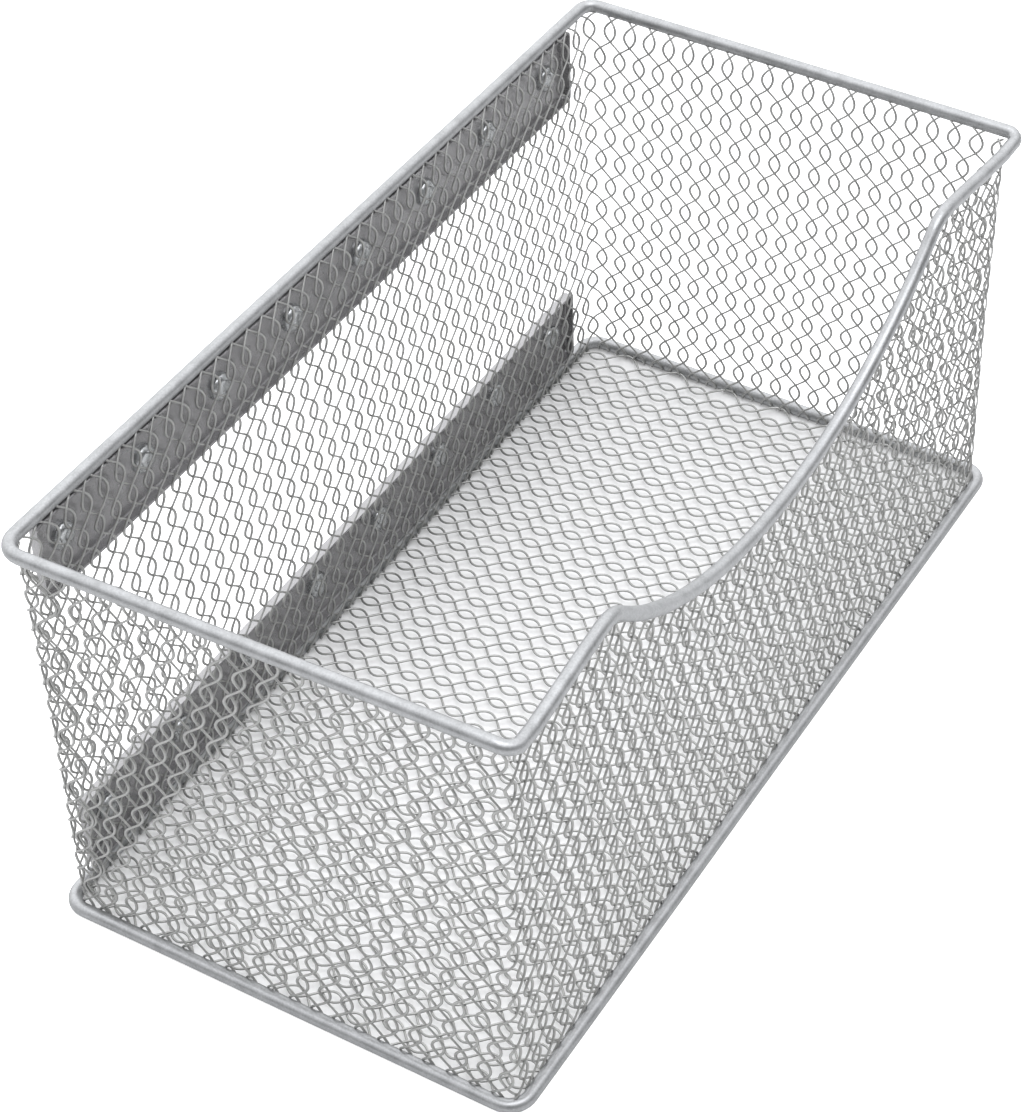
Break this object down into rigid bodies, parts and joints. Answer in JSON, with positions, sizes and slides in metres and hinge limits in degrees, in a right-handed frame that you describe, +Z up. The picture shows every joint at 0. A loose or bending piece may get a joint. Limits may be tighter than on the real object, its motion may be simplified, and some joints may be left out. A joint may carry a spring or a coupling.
{
  "type": "wire mesh basket",
  "caption": "Rectangular wire mesh basket with round bar rims, a scooped front edge and magnet rails on its back wall.",
  "frame": {"origin": "under the middle of the whole object, on the plane the foot rim stands on", "axes": "+X along the basket, to the right seen from the scooped front; +Y from the scooped front to the back wall with the rails; +Z up"},
  "size_m": [0.226, 0.1166, 0.1028],
  "materials": {
    "rims": "satin silver paint on round steel bar",
    "mesh": "satin silver paint on steel wire",
    "rails": "matt silver paint on pressed steel sheet",
    "rivets": "bright, smooth",
    "magnets": "dark matt ferrite"
  },
  "bodies": {
    "root": {"top_rim": "rims", "bottom_rim": "rims", "back_mesh": "mesh", "front_mesh": "mesh", "left_mesh": "mesh", "right_mesh": "mesh", "floor_mesh": "mesh", "upper_rail": "rails", "lower_rail": "rails", "upper_magnet": "magnets", "lower_magnet": "magnets", "upper_rivet_1": "rivets", "upper_rivet_2": "rivets", "upper_rivet_3": "rivets", "upper_rivet_4": "rivets", "upper_rivet_5": "rivets", "upper_rivet_6": "rivets", "upper_rivet_7": "rivets", "upper_rivet_8": "rivets", "lower_rivet_1": "rivets", "lower_rivet_2": "rivets", "lower_rivet_3": "rivets", "lower_rivet_4": "rivets", "lower_rivet_5": "rivets", "lower_rivet_6": "rivets", "lower_rivet_7": "rivets", "lower_rivet_8": "rivets"}
  },
  "joints": []
}
